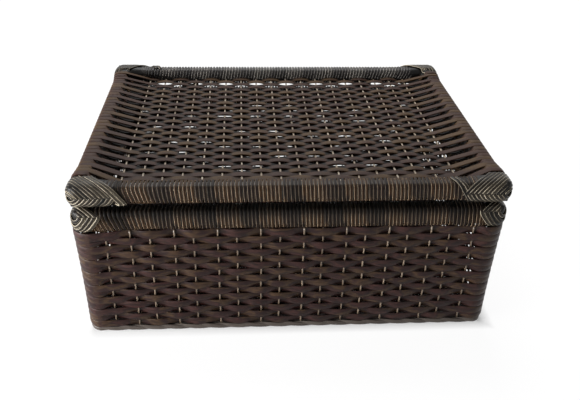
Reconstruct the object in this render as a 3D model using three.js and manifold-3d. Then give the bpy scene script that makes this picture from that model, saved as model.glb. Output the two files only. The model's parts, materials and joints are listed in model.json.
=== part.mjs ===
// A woven rattan storage box with a hinged lid, in millimetres, +Z up.
// The origin is on the ground under the middle of the box, and the front faces -Y.
// The body is a rim of four bound rails on corner posts, with woven walls and a woven floor.
// The lid is a frame of four bound rails round a dished woven panel, and it turns on two
// butt hinges behind the back rails. The weave itself is left to the finish: each woven
// surface here is its outer layer of strips with a grid of openings, and its stakes behind it.
import * as THREE from 'three';
import { mergeVertices } from 'three/addons/utils/BufferGeometryUtils.js';
import Module from 'manifold-3d';

const wasm = await Module();
wasm.setup();

// The box's size. Width and depth are the lid's, over its bound rails and not its thicker corners.
const WIDTH = 452;
const DEPTH = 352;
const HEIGHT = 190; // over the corners
const OVERHANG = 1; // how far the lid reaches past the rim in front and on both sides

const FIT = 0.3; // clearance between two pieces that touch
const JOIN = 0.5; // how far two shapes of one piece reach into each other
const PAST = 1; // how far a cut runs past what it cuts

// Rails and their binding
const RAIL_DEEP = 20; // a bound rail, from its outer to its inner face
const RIM_RAIL_TALL = 23;
const LID_RAIL_TALL = 20.5;
const RAIL_EDGE = 6; // rounding of a bound rail's long edges
const CANE = 1.2; // thickness of the binding cane
const CANE_GROOVE = 0.5; // how deep the line between two ribs of binding lies
const GROOVE_SHARE = 0.2; // how much of a rib its groove takes on each side
const RIB = 8; // width of one rib of binding, which stands for two turns of cane

// Fishbone corners
const CORNER_BULGE = 4.2; // how far a corner stands out of the bound rails
const CORNER_END = 1.4; // the same at the end of its legs
const CORNER_LEG = 52; // its reach along each rail
const CORNER_ROUND = 14; // radius of the box's upright corners, over the fishbone

// Woven walls
const WALL_ROW = 8.4; // about the height of one row of flat strip
const WALL_PROUD = 1; // the wall's face before the rim's bound face, at the top
const WALL_TAPER = 0.5; // how much further in it stands at the bottom
const WALL_FLARE = 3; // how much further out its corners stand at the top, under the rim's corners
const FLARE_RUN = 45; // how far along the walls that dies away
const WALL_ROUND = 16; // radius of the wall's upright corners
const STRIP_LAYER = 3; // the outer layer of strips, with its crown
const STRIP_CROWN = 1;

// Openings of the weave: a grid of slots, each over a stake, and on every so many rows
const SLOT_WIDE = 15;
const WALL_SLOT_TALL = 3.4;
const WALL_SLOT_ROWS = 3;
const PANEL_SLOT_TALL = 5.2;
const PANEL_SLOT_ROWS = 3;

// Stakes: as many as fit at their pitch
const STAKE = 2.8;
const STAKE_PITCH = 22.7;
const STAKE_PAIR = 1.3; // all but the end ones stand in pairs, each this much nearer to the other
const STAKE_BAR = 4; // height of the bar that joins the stakes of one wall
const BAR_SHARE = 0.9; // how thick the bars that join other stakes are, against a stake

// Base
const BORDER_TALL = 7;
const BORDER_DEEP = 6;
const BORDER_FOOT = 1; // how far its face is drawn in at the ground
const BORDER_HEAD = 0.6; // and at its top
const BASE_ROD = 8;
const BASE_ROD_EDGE = 3;
const BASE_ROD_Z = 0.5; // a base rod's underside above the ground
const POST = 8;

// Lid panel
const PANEL_SINK = 9; // the panel's edge below the top of the rails
const PANEL_SAG = 4; // how much lower its middle is
const FLAP_SINK = 3.5; // where its strips leave the side rails
const FLAP = 24; // the least run of its strips from a side rail to the first stake
const PANEL_STAKE_PITCH = 21;
const PANEL_ROW = 8.7; // about the width of one row of its strips
const DISH_STEPS = [-1, -0.5, 0, 0.5, 1]; // where the dish bends, from the front rail to the back one

// Hinges
const HINGE_IN = 100; // from the lid's side to the middle of a hinge
const HINGE_WIDE = 24;
const LEAF_THICK = 1.2;
const LEAF_TALL = 15;
const KNUCKLE_R = 2.6;
const PIN_R = 1.1;
const PIN_PLAY = 0.3;
const PIN_END = 1; // how far a pin stands out of its knuckles
const HINGE_GAP = 0.4; // between knuckles, and from the corners to the axis
const SCREW_R = 1.2;
const SCREW_HEAD_R = 2.4;
const SCREW_HEAD = 0.8;
const SCREW_LONG = 12;
const SCREW_APART = 12; // between the two screws of a leaf
const SCREW_UP = 9.3; // from the rail's edge at the seam

// Levels above the ground
const SEAM = 2 * CORNER_BULGE + FIT; // the corners meet, so the rails stay this far apart
const LID_TOP = HEIGHT - CORNER_BULGE;
const LID_BOTTOM = LID_TOP - LID_RAIL_TALL;
const RIM_TOP = LID_BOTTOM - SEAM;
const RIM_BOTTOM = RIM_TOP - RIM_RAIL_TALL;
const WALL_TOP = RIM_BOTTOM - FIT;
const WALL_BOTTOM = BORDER_TALL + FIT;
const AXIS_Z = RIM_TOP + SEAM / 2;
const AXIS_Y = DEPTH / 2 + CORNER_BULGE + HINGE_GAP;

// The body, whose back is flush with the lid's
const BODY_WIDTH = WIDTH - 2 * OVERHANG;
const BODY_DEPTH = DEPTH - OVERHANG;

// The even number of stakes of one pitch that lie within a reach on both sides of the middle
const evenCount = (reach, pitch) => 2 * Math.floor(reach / pitch + 0.5);

// The four sides of a frame, each turned from the front. A length runs along the side.
const sidesOf = (wide, deep) => [
  { side: 'front', turn: 0, long: wide, across: deep },
  { side: 'right', turn: Math.PI / 2, long: deep, across: wide },
  { side: 'back', turn: Math.PI, long: wide, across: deep },
  { side: 'left', turn: -Math.PI / 2, long: deep, across: wide },
];
// The corner that follows each side, going round to the right
const CORNERS = [
  { corner: 'front_right', turn: 0, x: 1, y: -1 },
  { corner: 'back_right', turn: Math.PI / 2, x: 1, y: 1 },
  { corner: 'back_left', turn: Math.PI, x: -1, y: 1 },
  { corner: 'front_left', turn: -Math.PI / 2, x: -1, y: -1 },
];

const paint = (color, roughness, metalness = 0) =>
  new THREE.MeshStandardMaterial({ color, roughness, metalness });
const POLE = paint('#6b5138', 0.7);
const BINDING = paint('#4b3d33', 0.45);
const FISHBONE = paint('#464039', 0.42);
const STRIP = paint('#3d332d', 0.4);
const ROUND_CORE = paint('#86705a', 0.6);
const STEEL = paint('#4a3a2a', 0.4, 0.8);

// Geometry and solids

// Turns the faces of a closed geometry outwards, if they point in.
function outward(points, faces) {
  let volume = 0;
  for (const [a, b, c] of faces) {
    const [p, q, r] = [points[a], points[b], points[c]];
    volume += p[0] * (q[1] * r[2] - q[2] * r[1]) + p[1] * (q[2] * r[0] - q[0] * r[2])
      + p[2] * (q[0] * r[1] - q[1] * r[0]);
  }
  return volume < 0 ? faces.map(([a, b, c]) => [a, c, b]) : faces;
}

function geometryOf(points, faces) {
  const geometry = new THREE.BufferGeometry();
  geometry.setAttribute('position', new THREE.Float32BufferAttribute(points.flat(), 3));
  geometry.setIndex(outward(points, faces).flat());
  geometry.computeVertexNormals();
  return geometry;
}

function solidOf(geometry) {
  const bare = geometry.clone();
  bare.deleteAttribute('normal');
  bare.deleteAttribute('uv');
  const merged = mergeVertices(bare, 1e-4);
  return new wasm.Manifold(new wasm.Mesh({
    numProp: 3,
    vertProperties: merged.attributes.position.array,
    triVerts: new Uint32Array(merged.index.array),
  }));
}

function geometryFrom(solid) {
  const mesh = solid.getMesh();
  const geometry = new THREE.BufferGeometry();
  geometry.setAttribute('position', new THREE.BufferAttribute(mesh.vertProperties, 3));
  geometry.setIndex(new THREE.BufferAttribute(mesh.triVerts, 1));
  return geometry.toNonIndexed();
}

// The quads between two rings of n points, which start at the given vertices.
function band(from, to, n) {
  const faces = [];
  for (let i = 0; i < n; i++) {
    const j = (i + 1) % n;
    faces.push([from + i, from + j, to + j], [from + i, to + j, to + i]);
  }
  return faces;
}

// A solid bar through rings of equally many points, with flat convex ends.
function loft(rings) {
  const n = rings[0].length;
  const faces = [];
  for (let k = 0; k + 1 < rings.length; k++) faces.push(...band(k * n, (k + 1) * n, n));
  const last = (rings.length - 1) * n;
  for (let i = 1; i + 1 < n; i++) faces.push([0, i + 1, i], [last, last + i, last + i + 1]);
  return geometryOf(rings.flat(), faces);
}

// A sleeve: an outer skin and a bore, each through its own rings, joined at both ends.
function sleeve(outer, bore) {
  const n = outer[0].length;
  const faces = [];
  const start = outer.length * n;
  const lastOuter = start - n;
  const lastBore = start + (bore.length - 1) * n;
  for (let k = 0; k + 1 < outer.length; k++) faces.push(...band(k * n, (k + 1) * n, n));
  for (let k = 0; k + 1 < bore.length; k++) faces.push(...band(start + (k + 1) * n, start + k * n, n));
  faces.push(...band(start, 0, n), ...band(lastOuter, lastBore, n));
  return geometryOf([...outer, ...bore].flat(), faces);
}

// A rectangle with rounded corners as [u, v] points, of the given number of steps a corner.
function roundedRect(wide, tall, radius, steps) {
  const points = [];
  for (let corner = 0; corner < 4; corner++) {
    const su = corner === 0 || corner === 3 ? 1 : -1;
    const sv = corner < 2 ? 1 : -1;
    for (let step = 0; step <= steps; step++) {
      const angle = ((corner + step / steps) * Math.PI) / 2;
      points.push([
        su * (wide / 2 - radius) + radius * Math.cos(angle),
        sv * (tall / 2 - radius) + radius * Math.sin(angle),
      ]);
    }
  }
  return points;
}

// An upright prism on a rounded rectangle, from one level to another.
function uprightPrism(wide, deep, radius, bottom, top, steps = 6) {
  const plan = roundedRect(wide, deep, radius, steps);
  return loft([bottom, top].map((z) => plan.map(([x, y]) => [x, y, z])));
}

// A rod between two points.
function rod(from, to, radius, sides) {
  const a = new THREE.Vector3(...from);
  const b = new THREE.Vector3(...to);
  const geometry = new THREE.CylinderGeometry(radius, radius, a.distanceTo(b), sides);
  const along = b.clone().sub(a).normalize();
  geometry.applyQuaternion(new THREE.Quaternion().setFromUnitVectors(new THREE.Vector3(0, 1, 0), along));
  const middle = a.add(b).multiplyScalar(0.5);
  return geometry.translate(middle.x, middle.y, middle.z);
}

function block(low, high) {
  const size = high.map((value, k) => value - low[k]);
  const geometry = new THREE.BoxGeometry(...size);
  return geometry.translate(...low.map((value, k) => value + size[k] / 2));
}

const union = (geometries) => geometries.map(solidOf).reduce((made, next) => made.add(next));

// Rails: each is drawn as the front one, with its bound outer face at y = 0, facing -Y,
// its length along X and its underside at z = 0.

const coreIn = CANE + FIT; // from a bound rail's face to the pole inside it

// The eight or more points across a rail at one place along it. u is outwards from the
// bound face, and x is that of the outer face, plus lean times u.
function railRing(tall, grow, steps, x, lean) {
  return roundedRect(RAIL_DEEP + 2 * grow, tall + 2 * grow, RAIL_EDGE + grow, steps)
    .map(([u, v]) => [u - RAIL_DEEP / 2, v + tall / 2])
    .map(([u, v]) => [x + lean * u, -u, v]);
}

// The pole inside the binding, with its ends mitred and rounded to the box's corners.
function pole(long, across, tall) {
  const bar = loft([
    railRing(tall, -coreIn, 1, -long / 2 + FIT / 2, -1),
    railRing(tall, -coreIn, 1, long / 2 - FIT / 2, 1),
  ]);
  const plan = uprightPrism(
    long - 2 * coreIn, across - 2 * coreIn, CORNER_ROUND - CORNER_BULGE - coreIn, -PAST, tall + PAST,
  ).translate(0, across / 2, 0);
  return solidOf(bar).intersect(solidOf(plan));
}

// The cane wound round a rail between its two corners, as ribs of about the given width.
function binding(long, tall, rib) {
  const reach = long / 2 - CORNER_LEG - FIT;
  const ribs = rib ? Math.round((2 * reach) / rib) : 1;
  const outer = [railRing(tall, 0, 1, -reach, 0)];
  const pitch = (2 * reach) / ribs;
  const gap = GROOVE_SHARE * pitch;
  for (let k = 1; k < ribs; k++) {
    const x = -reach + k * pitch;
    outer.push(railRing(tall, 0, 1, x - gap, 0));
    outer.push(railRing(tall, -CANE_GROOVE, 1, x, 0));
  }
  outer.push(railRing(tall, 0, 1, reach, 0));
  const bore = [-reach, reach].map((x) => railRing(tall, -CANE, 1, x, 0));
  return sleeve(outer, bore);
}

// A fishbone corner, drawn as the front right one, with the bound rails' corner at x = y = 0.
function cornerWrap(tall) {
  const leg = (grow, end, reach) => loft([
    railRing(tall, grow, 2, 0, 1),
    railRing(tall, grow, 2, -RAIL_DEEP - 2 * CORNER_BULGE, 0),
    railRing(tall, end, 2, -reach, 0),
  ]);
  const both = (grow, end, reach) => {
    const front = solidOf(leg(grow, end, reach));
    const right = solidOf(geometryOfMirror(leg(grow, end, reach)));
    return front.add(right);
  };
  const plan = (grow, radius) => solidOf(
    uprightPrism(4 * CORNER_LEG, 4 * CORNER_LEG, radius, -tall, 2 * tall)
      .translate(grow - 2 * CORNER_LEG, 2 * CORNER_LEG - grow, 0),
  );
  const outside = both(CORNER_BULGE, CORNER_END, CORNER_LEG).intersect(plan(CORNER_BULGE, CORNER_ROUND));
  const bore = both(-CANE, -CANE, CORNER_LEG + PAST)
    .intersect(plan(-CANE, CORNER_ROUND - CORNER_BULGE - CANE));
  return outside.subtract(bore);
}

// The same geometry over the diagonal that swaps the front for the right.
function geometryOfMirror(geometry) {
  const position = geometry.attributes.position;
  const points = [];
  const faces = [];
  for (let i = 0; i < position.count; i++) {
    points.push([-position.getY(i), -position.getX(i), position.getZ(i)]);
  }
  for (let i = 0; i < geometry.index.count; i += 3) {
    faces.push([0, 1, 2].map((k) => geometry.index.getX(i + k)));
  }
  return geometryOf(points, faces);
}

// Walls

// Half the wall's size along x and y, outside its strips, at one level.
function wallReach(z) {
  const out = WALL_PROUD - (WALL_TAPER * (WALL_TOP - z)) / (WALL_TOP - WALL_BOTTOM);
  return [BODY_WIDTH / 2 + out, BODY_DEPTH / 2 + out];
}

// One ring round the wall. Its corners flare towards the top.
function wallRing(z, inset) {
  const [x, y] = wallReach(z);
  const radius = WALL_ROUND - inset;
  const flare = WALL_FLARE * ((z - WALL_BOTTOM) / (WALL_TOP - WALL_BOTTOM)) ** 2;
  const steps = 4;
  const ring = [];
  for (let corner = 0; corner < 4; corner++) {
    const centreX = (corner === 0 || corner === 3 ? 1 : -1) * (x - WALL_ROUND);
    const centreY = (corner < 2 ? 1 : -1) * (y - WALL_ROUND);
    const way = (step) => {
      const angle = ((corner + step / steps) * Math.PI) / 2;
      return [Math.cos(angle), Math.sin(angle)];
    };
    const [start, end] = [way(0), way(steps)];
    const beside = (out, back) => [0, 1].map((k) => out[k] * radius - back[k] * FLARE_RUN);
    const offsets = [beside(start, end)];
    for (let step = 0; step <= steps; step++) offsets.push(way(step).map((part) => part * (radius + flare)));
    offsets.push(beside(end, start));
    for (const [u, v] of offsets) ring.push([centreX + u, centreY + v, z]);
  }
  return ring;
}

const wallRows = Math.round((WALL_TOP - WALL_BOTTOM) / WALL_ROW);
const wallPitch = (WALL_TOP - WALL_BOTTOM) / wallRows;

// The outer layer of strips: one crowned row above another, all round the box.
function wallWeave() {
  const outer = [];
  for (let row = 0; row < wallRows; row++) {
    const z = WALL_BOTTOM + row * wallPitch;
    outer.push(wallRing(z, STRIP_CROWN), wallRing(z + wallPitch / 2, 0));
  }
  outer.push(wallRing(WALL_TOP, STRIP_CROWN));
  const bore = [WALL_BOTTOM, WALL_TOP].map((z) => wallRing(z, STRIP_LAYER));
  return sleeve(outer, bore);
}

// Where the stakes of a wall stand along it, in pairs.
function stakePlaces(long) {
  const count = evenCount(long / 2 + WALL_PROUD - WALL_ROUND, STAKE_PITCH);
  const pair = (k) => (k % 2 ? STAKE_PAIR : -STAKE_PAIR);
  return Array.from({ length: count }, (_, k) => (k - (count - 1) / 2) * STAKE_PITCH + pair(k));
}

// The openings of the four walls, under the rows' crests. Those of one row stand over every other stake.
function wallSlots() {
  const slots = [];
  for (const { turn, long, across } of sidesOf(BODY_WIDTH, BODY_DEPTH)) {
    const [near, far] = [-across / 2 - WALL_PROUD - PAST, -across / 2 + WALL_TAPER + STRIP_LAYER + PAST];
    stakePlaces(long).forEach((x, k) => {
      for (let row = 1; row < wallRows; row += WALL_SLOT_ROWS) {
        const z = WALL_BOTTOM + row * wallPitch + (wallPitch / 2 - WALL_SLOT_TALL) / 2;
        const low = [x - SLOT_WIDE / 2, near, z];
        const high = [x + SLOT_WIDE / 2, far, z + WALL_SLOT_TALL];
        if ((k + row) % 2 === 0) slots.push(block(low, high).rotateZ(turn));
      }
    });
  }
  return union(slots);
}

// The stakes of one wall, joined at the foot, drawn flat in the plane y = 0 with z = 0 at the foot.
// Those that stand under a fishbone corner are shorter.
function stakeComb(long) {
  const half = STAKE / 2;
  const comb = new THREE.Shape();
  const places = stakePlaces(long);
  const last = places.length - 1;
  comb.moveTo(places[0] - half, 0);
  comb.lineTo(places[last] + half, 0);
  for (let k = last; k >= 0; k--) {
    const x = places[k];
    const underCorner = Math.abs(x) + half > long / 2 - CORNER_LEG - 2 * FIT;
    const top = WALL_TOP - WALL_BOTTOM - (underCorner ? CORNER_BULGE + FIT : 0);
    if (k < last) comb.lineTo(x + half, STAKE_BAR);
    comb.lineTo(x + half, top);
    comb.lineTo(x - half, top);
    if (k > 0) comb.lineTo(x - half, STAKE_BAR);
  }
  comb.closePath();
  const geometry = new THREE.ExtrudeGeometry(comb, { depth: STAKE, bevelEnabled: false });
  return geometry.rotateX(Math.PI / 2).translate(0, half, 0);
}

// Base

const stakeIn = STRIP_LAYER + FIT + STAKE + FIT; // from the wall's face to what stands inside its stakes
const [baseX, baseY] = wallReach(WALL_BOTTOM);

// The twined border that the box stands on, flat underneath.
function border() {
  const ring = (inset, z) => roundedRect(2 * (baseX - inset), 2 * (baseY - inset), WALL_ROUND - inset, 4)
    .map(([x, y]) => [x, y, z]);
  const outer = [
    ring(BORDER_FOOT, 0),
    ring(BORDER_FOOT / 4, BORDER_TALL / 5),
    ring(0, BORDER_TALL / 2),
    ring(BORDER_HEAD, BORDER_TALL),
  ];
  return sleeve(outer, [ring(BORDER_DEEP, 0), ring(BORDER_DEEP, BORDER_TALL)]);
}

// One rod of the base frame, mitred, drawn as the front one with its outer face at y = 0.
// Its corners follow the border's inner face.
function baseRod(long, across) {
  const ring = (end) => roundedRect(BASE_ROD, BASE_ROD, BASE_ROD_EDGE, 2)
    .map(([u, v]) => [end * (long / 2 - FIT / 2 - (BASE_ROD / 2 - u)), BASE_ROD / 2 - u, v + BASE_ROD / 2]);
  const plan = uprightPrism(long, across, WALL_ROUND - BASE_ROD_IN, -PAST, BASE_ROD + PAST, 4);
  return solidOf(loft([ring(-1), ring(1)])).intersect(solidOf(plan.translate(0, across / 2, 0)));
}

const BASE_ROD_IN = BORDER_DEEP + FIT; // from the wall's foot to the base rods
const FLOOR_STAKE_Z = BASE_ROD_Z + BASE_ROD + FIT;
const FLOOR_Z = FLOOR_STAKE_Z + STAKE + FIT;
const FLOOR_TOP = FLOOR_Z + STRIP_LAYER;

// The middle of a corner post at one level, in the corner where x and y are positive.
function postAt(z) {
  const [x, y] = wallReach(z);
  const inside = STRIP_LAYER + FIT + (WALL_ROUND - STRIP_LAYER - FIT - POST / 2) * (1 - Math.SQRT1_2);
  return [x - inside - POST / 2, y - inside - POST / 2];
}

function post(signX, signY, grow = 0) {
  const bottom = FLOOR_STAKE_Z;
  const top = RIM_BOTTOM - CORNER_BULGE - FIT;
  const [[x0, y0], [x1, y1]] = [postAt(bottom), postAt(top)];
  const foot = [signX * x0, signY * y0, bottom - grow];
  const head = [signX * x1, signY * y1, top + grow];
  return rod(foot, head, POST / 2 + grow, 12);
}

// What the floor leaves free round the four posts.
const aroundPosts = () => union(CORNERS.map(({ x, y }) => post(x, y, FIT)));

// The floor's strips, over its stakes.
function floorWeave() {
  const plate = uprightPrism(
    2 * (baseX - stakeIn), 2 * (baseY - stakeIn), WALL_ROUND - stakeIn, FLOOR_Z, FLOOR_TOP, 2,
  );
  return solidOf(plate).subtract(aroundPosts());
}

// The floor's stakes: bars in line with those of the front and back walls, joined at both ends.
function floorStakes() {
  const [low, high] = [FLOOR_STAKE_Z, FLOOR_STAKE_Z + STAKE];
  const half = STAKE / 2;
  const y = baseY - stakeIn;
  const places = stakePlaces(BODY_WIDTH);
  const last = places[places.length - 1];
  const bars = [-1, 1].map((end) => block(
    [-last, end * (y - half) - half * BAR_SHARE, low + half * (1 - BAR_SHARE)],
    [last, end * (y - half) + half * BAR_SHARE, high - half * (1 - BAR_SHARE)],
  ));
  for (const x of places) bars.push(block([x - half, -y, low], [x + half, y, high]));
  return union(bars).subtract(aroundPosts());
}

// Lid panel

const panelX = WIDTH / 2 - RAIL_DEEP - FIT;
const panelY = DEPTH / 2 - RAIL_DEEP - FIT;
const panelStakeCount = evenCount(panelX - FLAP, PANEL_STAKE_PITCH);
const stakeX = ((panelStakeCount - 1) / 2) * PANEL_STAKE_PITCH;

// The level of the panel's upper face.
function panelLevel(x, y) {
  const out = Math.max(Math.abs(x) - stakeX, 0) / (panelX - stakeX);
  const inside = 1 - Math.min(Math.abs(x) / stakeX, 1) ** 2;
  const sag = PANEL_SAG * inside * (1 - Math.min(Math.abs(y) / panelY, 1) ** 2);
  return LID_TOP - PANEL_SINK - sag + (PANEL_SINK - FLAP_SINK) * out;
}

// The panel's upper layer of strips: flaps from the side rails down to the first stakes,
// and a dish between them.
function panelWeave() {
  const xs = [-panelX, -stakeX, -stakeX / 2, 0, stakeX / 2, stakeX, panelX];
  const ys = DISH_STEPS.map((step) => step * panelY);
  const points = [];
  for (const depth of [0, STRIP_LAYER]) {
    for (const y of ys) for (const x of xs) points.push([x, y, panelLevel(x, y) - depth]);
  }
  const n = xs.length;
  const under = n * ys.length;
  const faces = [];
  for (let j = 0; j + 1 < ys.length; j++) {
    for (let i = 0; i + 1 < n; i++) {
      // Each cell folds along the diagonal that runs round the dish and not into it.
      const corners = [j * n + i, j * n + i + 1, (j + 1) * n + i + 1, (j + 1) * n + i];
      if ((xs[i] + xs[i + 1]) * (ys[j] + ys[j + 1]) > 0) corners.push(corners.shift());
      const [a, b, c, d] = corners;
      faces.push([a, b, c], [a, c, d]);
      faces.push([under + a, under + c, under + b], [under + a, under + d, under + c]);
    }
  }
  const rim = [];
  for (let i = 0; i + 1 < n; i++) rim.push(i);
  for (let j = 0; j + 1 < ys.length; j++) rim.push(j * n + n - 1);
  for (let i = n - 1; i > 0; i--) rim.push((ys.length - 1) * n + i);
  for (let j = ys.length - 1; j > 0; j--) rim.push(j * n);
  rim.forEach((a, k) => {
    const b = rim[(k + 1) % rim.length];
    faces.push([a, under + a, b], [b, under + a, under + b]);
  });
  return solidOf(geometryOf(points, faces)).subtract(aroundLidCorners()).subtract(panelSlots());
}

// The openings of the panel, between its rows. Those of one row stand over every other stake.
function panelSlots() {
  const rows = Math.round((2 * panelY) / PANEL_ROW);
  const slots = [];
  for (let k = 0; k < panelStakeCount; k++) {
    const x = k * PANEL_STAKE_PITCH - stakeX;
    for (let slot = 0; (slot + 0.5) * PANEL_SLOT_ROWS < rows; slot++) {
      const y = ((slot + 0.5) * PANEL_SLOT_ROWS * 2 * panelY) / rows - panelY;
      const low = [x - SLOT_WIDE / 2, y - PANEL_SLOT_TALL / 2, LID_BOTTOM];
      const high = [x + SLOT_WIDE / 2, y + PANEL_SLOT_TALL / 2, LID_TOP];
      if ((k + slot) % 2 === 0) slots.push(block(low, high));
    }
  }
  return union(slots);
}

// Blocks over the legs of a frame's four corners, with room round them, between two levels.
function legBlocks(wide, deep, low, high) {
  const leg = CORNER_LEG + FIT;
  const reach = RAIL_DEEP + CORNER_BULGE + FIT;
  const span = (sign, half, inward) =>
    [sign * (half + CORNER_BULGE + PAST), sign * (half - inward)].sort((a, b) => a - b);
  return CORNERS.flatMap(({ x, y }) => [[leg, reach], [reach, leg]].map(([inX, inY]) => {
    const [[x0, x1], [y0, y1]] = [span(x, wide / 2, inX), span(y, deep / 2, inY)];
    return block([x0, y0, low], [x1, y1, high]);
  }));
}

const aroundLidCorners = () => union(legBlocks(WIDTH, DEPTH, LID_BOTTOM, LID_TOP));
const underRimCorners = () =>
  union(legBlocks(BODY_WIDTH, BODY_DEPTH, RIM_BOTTOM - CORNER_BULGE - FIT, RIM_TOP));

// The panel's stakes: bars from front to back that follow the dish, joined at both ends.
function panelStakes() {
  const half = STAKE / 2;
  const middle = (x, y) => panelLevel(x, y) - STRIP_LAYER - FIT - half;
  const reach = panelY - CORNER_BULGE;
  const bars = [];
  for (let k = 0; k < panelStakeCount; k++) {
    const x = k * PANEL_STAKE_PITCH - stakeX;
    const reachHere = Math.abs(x) > panelX + RAIL_DEEP - CORNER_LEG - STAKE ? reach : panelY;
    bars.push(loft(DISH_STEPS.map((step) => {
      const y = step * reachHere;
      const z = middle(x, y);
      return [[-half, -half], [half, -half], [half, half], [-half, half]].map(([u, v]) => [x + u, y, z + v]);
    })));
  }
  for (const end of [-1, 1]) {
    const y = end * (reach - half);
    const z = middle(stakeX, y);
    const bar = half * BAR_SHARE;
    bars.push(block([-stakeX, y - bar, z - bar], [stakeX, y + bar, z + bar]));
  }
  return union(bars);
}

// Hinges, drawn with the axis along X at y = z = 0 and the rails' back faces towards -Y.
// A leaf stands over the axis for the lid (up is 1) and hangs below it for the rim (up is -1).

const hingeX = WIDTH / 2 - HINGE_IN;
const leafFace = CORNER_BULGE + HINGE_GAP; // from the axis to the rails' back faces
const knuckleWide = (HINGE_WIDE - 2 * HINGE_GAP) / 3;
const screwX = SCREW_APART / 2;
const screwUp = SEAM / 2 + SCREW_UP;

function leaf(up) {
  const nearFace = -leafFace + FIT;
  const farFace = nearFace + LEAF_THICK;
  const plateFoot = KNUCKLE_R + HINGE_GAP;
  const flip = (low, high) => (up > 0 ? [low, high] : [-high, -low]);
  const box = (x0, x1, y0, y1, z0, z1) => {
    const [low, high] = flip(z0, z1);
    return block([x0, y0, low], [x1, y1, high]);
  };
  const half = HINGE_WIDE / 2;
  const parts = [box(-half, half, nearFace, farFace, plateFoot, SEAM / 2 + LEAF_TALL)];
  const spans = up > 0
    ? [[-knuckleWide / 2, knuckleWide / 2]]
    : [[-half, -knuckleWide / 2 - HINGE_GAP], [knuckleWide / 2 + HINGE_GAP, half]];
  for (const [x0, x1] of spans) {
    parts.push(rod([x0, 0, 0], [x1, 0, 0], KNUCKLE_R, 12));
    parts.push(box(x0, x1, nearFace, 0, 0, KNUCKLE_R));
    parts.push(box(x0, x1, nearFace, farFace, 0, plateFoot + JOIN));
  }
  const pinHole = rod([-HINGE_WIDE, 0, 0], [HINGE_WIDE, 0, 0], PIN_R + PIN_PLAY, 8);
  const holes = [-screwX, screwX].map((x) =>
    rod([x, -leafFace - PAST, up * screwUp], [x, 0, up * screwUp], SCREW_R + FIT, 8));
  return union(parts).subtract(union([pinHole, ...holes]));
}

const pinReach = HINGE_WIDE / 2 + PIN_END;
const hingePin = () => rod([-pinReach, 0, 0], [pinReach, 0, 0], PIN_R, 12);

// A screw, with its head outside the leaf and its point inside the rail.
function screw(up) {
  const headFoot = -leafFace + FIT + LEAF_THICK + FIT / 2;
  const head = rod([0, headFoot, up * screwUp], [0, headFoot + SCREW_HEAD, up * screwUp], SCREW_HEAD_R, 10);
  const shank = rod([0, headFoot - SCREW_LONG, up * screwUp], [0, headFoot + JOIN, up * screwUp], SCREW_R, 8);
  return union([head, shank]);
}

// The holes that the screws of one frame's back rail need, in that rail's own drawing.
function screwHoles(up, tall) {
  const z = up > 0 ? SCREW_UP : tall - SCREW_UP;
  const holes = [-hingeX, hingeX].flatMap((hinge) => [-screwX, screwX].map((x) =>
    rod([hinge + x, -PAST, z], [hinge + x, SCREW_LONG + PAST, z], SCREW_R + FIT, 8)));
  return union(holes);
}

// Assembly

// The hinge axis reaches further back than the front corners reach forward.
const frontReach = DEPTH / 2 + CORNER_BULGE;
const backReach = AXIS_Y + KNUCKLE_R;
const box = new THREE.Group();
box.name = 'storage_box';
box.position.y = (frontReach - backReach) / 2;

const body = new THREE.Group(); // rim, walls and floor, drawn round their own middle
body.name = 'body';
body.position.y = OVERHANG / 2;
box.add(body);

const lid = new THREE.Group(); // turns about X on the hinges
lid.name = 'lid';
lid.position.set(0, AXIS_Y, AXIS_Z);
box.add(lid);

function add(parent, name, shape, material) {
  const mesh = new THREE.Mesh(shape.isBufferGeometry ? shape : geometryFrom(shape), material);
  mesh.name = name;
  parent.add(mesh);
  return mesh;
}

// Everything of the lid is drawn where it is closed, so it moves back by the lid's own place.
function addToLid(name, shape, material) {
  const mesh = add(lid, name, shape, material);
  mesh.position.set(0, -AXIS_Y, -AXIS_Z);
  return mesh;
}

// Turns a mesh drawn as the front one to its side, and sets it at its place there.
function turnTo(mesh, turn, y, z) {
  mesh.rotation.set(mesh.rotation.x, 0, turn, 'ZXY');
  mesh.position.add(new THREE.Vector3(0, y, z).applyAxisAngle(new THREE.Vector3(0, 0, 1), turn));
}

// Four poles, their binding and their corners, for the rim or the lid.
function frame(put, prefix, [wide, deep], [bottom, tall], up, ribOf) {
  for (const { side, turn, long, across } of sidesOf(wide, deep)) {
    let rail = pole(long, across, tall);
    let wound = solidOf(binding(long, tall, ribOf[side]));
    if (side === 'back') {
      const holes = screwHoles(up, tall);
      rail = rail.subtract(holes);
      wound = wound.subtract(holes);
    }
    turnTo(put(`${prefix}_rail_${side}`, rail, POLE), turn, -across / 2, bottom);
    turnTo(put(`${prefix}_binding_${side}`, wound, BINDING), turn, -across / 2, bottom);
  }
  const wrap = cornerWrap(tall);
  for (const { corner, turn, x, y } of CORNERS) {
    const mesh = put(`${prefix}_corner_${corner}`, wrap, FISHBONE);
    mesh.rotation.z = turn;
    mesh.position.add(new THREE.Vector3((x * wide) / 2, (y * deep) / 2, bottom));
  }
}

const addToBody = (name, shape, material) => add(body, name, shape, material);
frame(addToBody, 'rim', [BODY_WIDTH, BODY_DEPTH], [RIM_BOTTOM, RIM_RAIL_TALL], -1, { front: RIB });
frame(addToLid, 'lid', [WIDTH, DEPTH], [LID_BOTTOM, LID_RAIL_TALL], 1, { front: RIB });

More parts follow.
